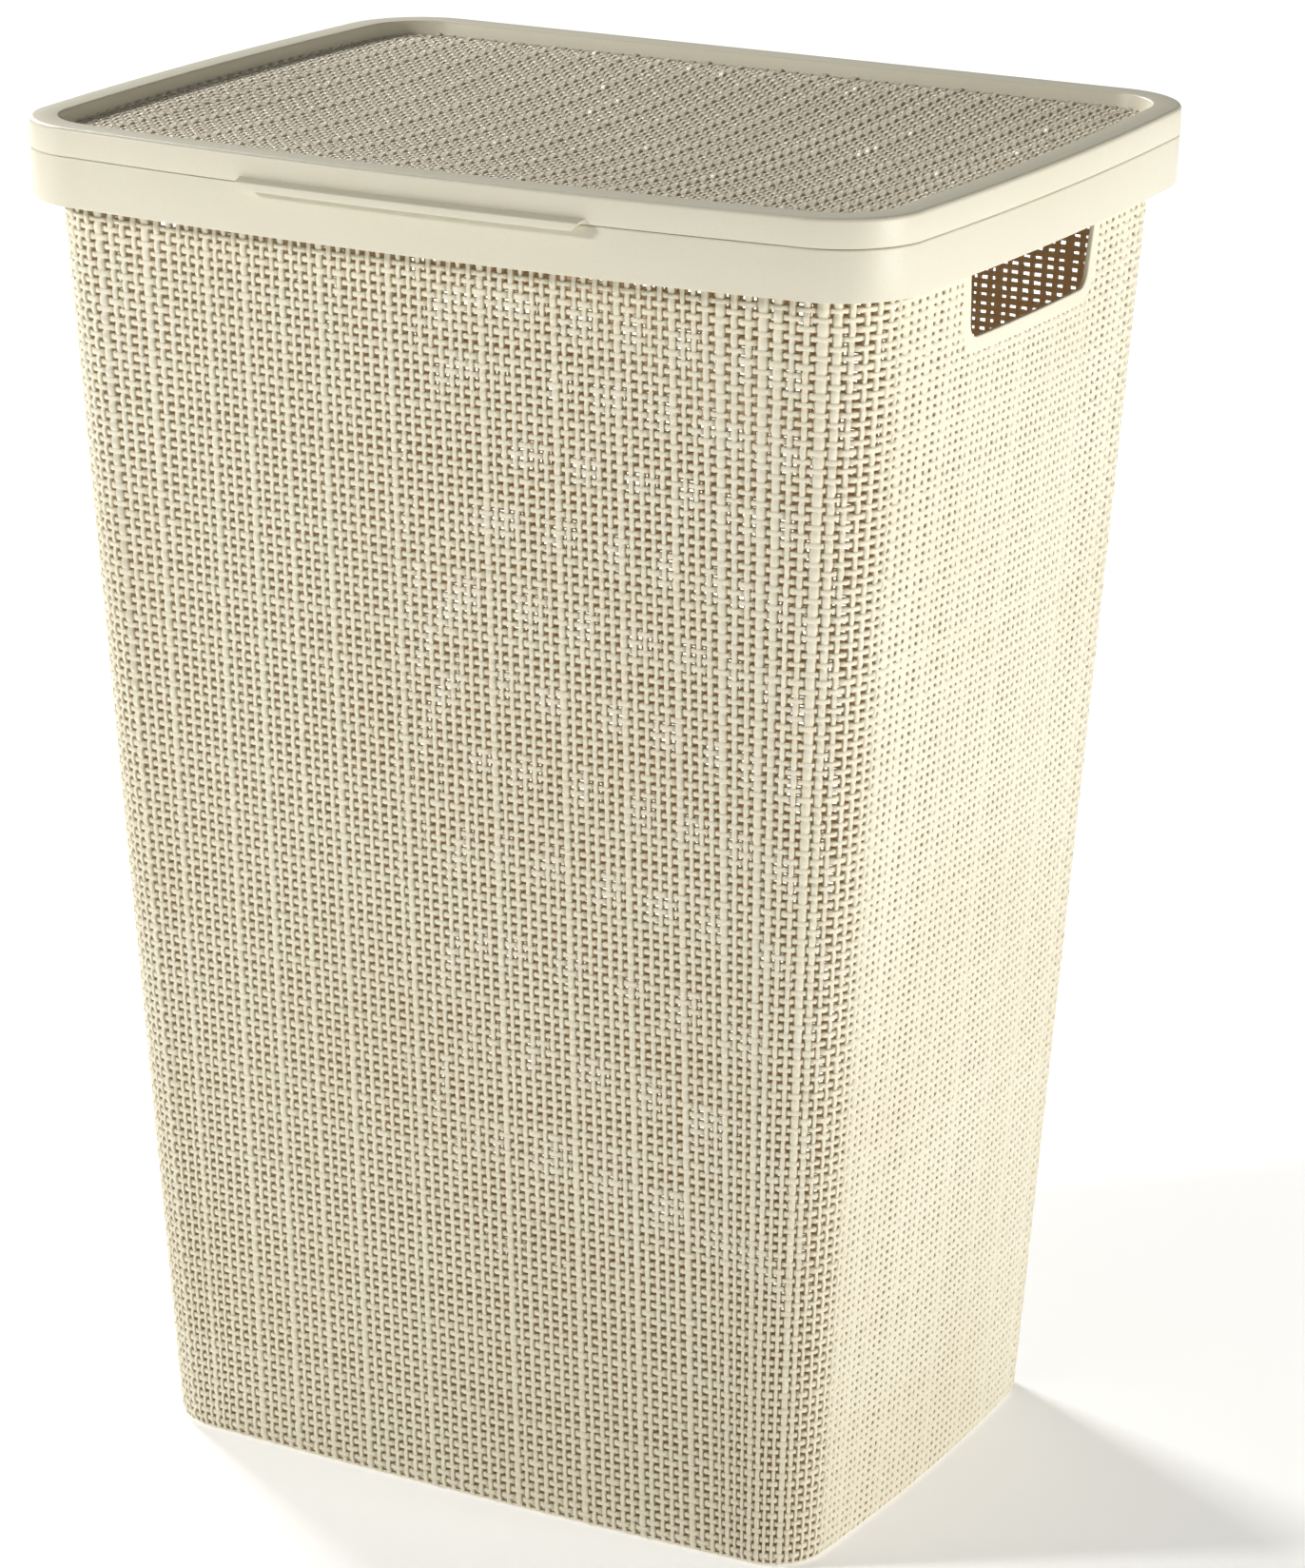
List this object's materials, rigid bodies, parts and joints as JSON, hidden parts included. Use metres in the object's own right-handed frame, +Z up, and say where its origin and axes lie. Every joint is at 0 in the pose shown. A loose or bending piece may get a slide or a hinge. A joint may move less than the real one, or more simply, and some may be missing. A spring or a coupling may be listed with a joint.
{
  "type": "laundry hamper",
  "caption": "Tapered laundry hamper with woven-look walls, a smooth collar, two hand slots, and a rear-hinged lid with a sunken woven panel and a front finger lip",
  "frame": {"origin": "middle of the footprint, on the floor", "axes": "+Z up, -Y front with the finger lip, +Y back with the hinges, +X right hand side seen from the front"},
  "size_m": [0.444, 0.351, 0.6265],
  "materials": {
    "woven_polypropylene": "matte moulded weave relief",
    "smooth_polypropylene": "satin with a fine grain",
    "pin_plastic": "smooth satin"
  },
  "bodies": {
    "basket": {"wall_front": "woven_polypropylene", "wall_back": "woven_polypropylene", "wall_left": "woven_polypropylene", "wall_right": "woven_polypropylene", "basket_floor": "woven_polypropylene", "top_collar": "smooth_polypropylene", "slot_frame_left": "smooth_polypropylene", "slot_frame_right": "smooth_polypropylene", "hinge_ears_left": "smooth_polypropylene", "hinge_ears_right": "smooth_polypropylene", "hinge_pin_left": "pin_plastic", "hinge_pin_right": "pin_plastic"},
    "lid": {"lid_frame": "smooth_polypropylene", "lid_panel": "woven_polypropylene", "lift_lip": "smooth_polypropylene", "locating_rib": "smooth_polypropylene", "hinge_eye_left": "smooth_polypropylene", "hinge_eye_right": "smooth_polypropylene"}
  },
  "joints": [
    {"name": "lid_hinge", "type": "hinge", "parent": "basket", "child": "lid", "pos_m": [0, 0.1715, 0.6137], "axis": [-1, 0, 0], "range_deg": [0, 105]}
  ]
}
